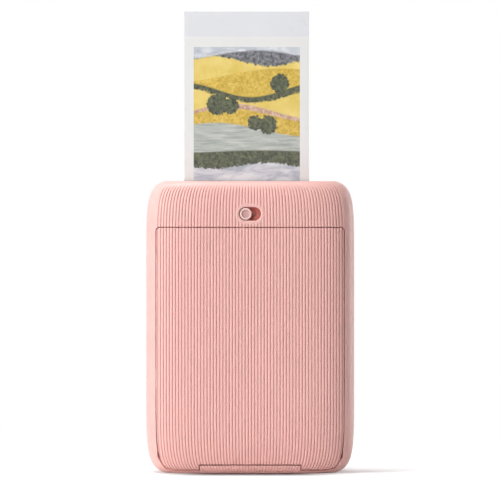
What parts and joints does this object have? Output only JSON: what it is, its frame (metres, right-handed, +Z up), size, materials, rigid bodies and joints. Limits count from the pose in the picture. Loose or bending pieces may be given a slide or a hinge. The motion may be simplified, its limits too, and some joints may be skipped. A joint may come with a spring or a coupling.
{
  "type": "compact photo printer",
  "caption": "Compact photo printer with ribbed pillow-shaped body, hinged film door, sliding latch, top slot with a print fed out, rollers, gears, film pack and electronics.",
  "frame": {"origin": "centre of the body's flat base, on the surface it stands on", "axes": "+X right seen from the film door side, the film door faces -Y, +Z up"},
  "size_m": [0.09, 0.0374, 0.1994],
  "materials": {
    "shell": "fine moulded texture",
    "trim": "smooth",
    "dark_plastic": "moulded",
    "spring_steel": "rolled",
    "steel": "turned",
    "foam": "felt",
    "gear_plastic": "moulded",
    "rubber": "ground",
    "brass": "turned",
    "film": "satin film sheet",
    "picture": "printed picture",
    "lens": "polished",
    "flex": "flexible circuit",
    "board": "solder mask",
    "tin": "tinned sheet",
    "cell": "pouch foil",
    "diffuser": "translucent"
  },
  "bodies": {
    "body": {"rear_housing": "shell", "front_housing": "shell", "hinge_pins": "steel", "door_light_seal": "foam", "latch_spring": "spring_steel", "slot_bezel": "trim", "exit_seals": "foam", "film_chamber": "dark_plastic", "claw_spring": "spring_steel", "film_pack_case": "dark_plastic", "film_stack": "film", "pressure_plate": "spring_steel", "roller_bushes": "gear_plastic", "pinch_springs": "spring_steel", "roller_bracket_left": "steel", "roller_bracket_right": "steel", "bracket_screws": "steel", "gear_axles": "steel", "motor": "steel", "print_head": "dark_plastic", "lens_array": "lens", "ribbon_cable": "flex", "main_board": "board", "board_screws": "steel", "radio_shield": "tin", "battery": "cell", "power_switch": "dark_plastic", "light_ring": "diffuser", "reset_switch": "dark_plastic", "usb_socket": "tin", "chassis_screws": "steel", "housing_screws": "steel"},
    "door": {"film_door_cover": "shell", "film_door_frame": "dark_plastic", "pack_springs": "spring_steel"},
    "latch": {"latch_knob": "trim", "latch_slide": "dark_plastic"},
    "button": {"power_button": "trim"},
    "reset": {"reset_button": "gear_plastic"},
    "print": {"photo_print": "film", "print_picture": "picture"},
    "drive": {"drive_roller": "rubber", "drive_roller_gear": "gear_plastic"},
    "pinch": {"pinch_roller": "rubber"},
    "idler": {"idler_gear": "gear_plastic"},
    "reduction": {"reduction_gear": "gear_plastic"},
    "rotor": {"motor_pinion": "brass"},
    "claw": {"pick_claw": "gear_plastic"}
  },
  "joints": [
    {"name": "film_door", "type": "hinge", "parent": "body", "child": "door", "pos_m": [0, -0.014, 0.008], "axis": [1, 0, 0], "range_deg": [0, 90]},
    {"name": "latch_slide", "type": "slide", "parent": "body", "child": "latch", "axis": [1, 0, 0], "range_m": [0, 0.00364], "stiffness_N_per_m": 60},
    {"name": "power_button", "type": "slide", "parent": "body", "child": "button", "axis": [0, -1, 0], "range_m": [0, 0.0006], "stiffness_N_per_m": 800},
    {"name": "reset_button", "type": "slide", "parent": "body", "child": "reset", "axis": [1, 0, 0], "range_m": [0, 0.0003], "stiffness_N_per_m": 500},
    {"name": "print_feed", "type": "slide", "parent": "body", "child": "print", "axis": [0, 0, 1], "range_m": [-0.091, 0.014]},
    {"name": "drive_roller", "type": "hinge", "parent": "body", "child": "drive", "pos_m": [0, 0.00415, 0.1092], "axis": [1, 0, 0], "continuous": true},
    {"name": "pinch_roller", "type": "hinge", "parent": "body", "child": "pinch", "pos_m": [0, -0.00245, 0.1092], "axis": [1, 0, 0], "continuous": true},
    {"name": "idler_gear", "type": "hinge", "parent": "body", "child": "idler", "pos_m": [0.034, 0.0025, 0.09883], "axis": [1, 0, 0], "continuous": true},
    {"name": "reduction_gear", "type": "hinge", "parent": "body", "child": "reduction", "pos_m": [0.034, 0.00152, 0.09139], "axis": [1, 0, 0], "continuous": true},
    {"name": "motor_rotor", "type": "hinge", "parent": "body", "child": "rotor", "pos_m": [0.034, 0.01, 0.092], "axis": [1, 0, 0], "continuous": true},
    {"name": "pick_claw", "type": "slide", "parent": "body", "child": "claw", "axis": [0, 0, 1], "range_m": [0, 0.008], "stiffness_N_per_m": 20}
  ],
  "couplings": [
    {"joint": "drive_roller", "follows": "print_feed", "rad_per_m": -333.33},
    {"joint": "pinch_roller", "follows": "print_feed", "rad_per_m": 333.33},
    {"joint": "idler_gear", "follows": "print_feed", "rad_per_m": 366.67},
    {"joint": "reduction_gear", "follows": "print_feed", "rad_per_m": -733.33},
    {"joint": "motor_rotor", "follows": "print_feed", "rad_per_m": 1760}
  ]
}
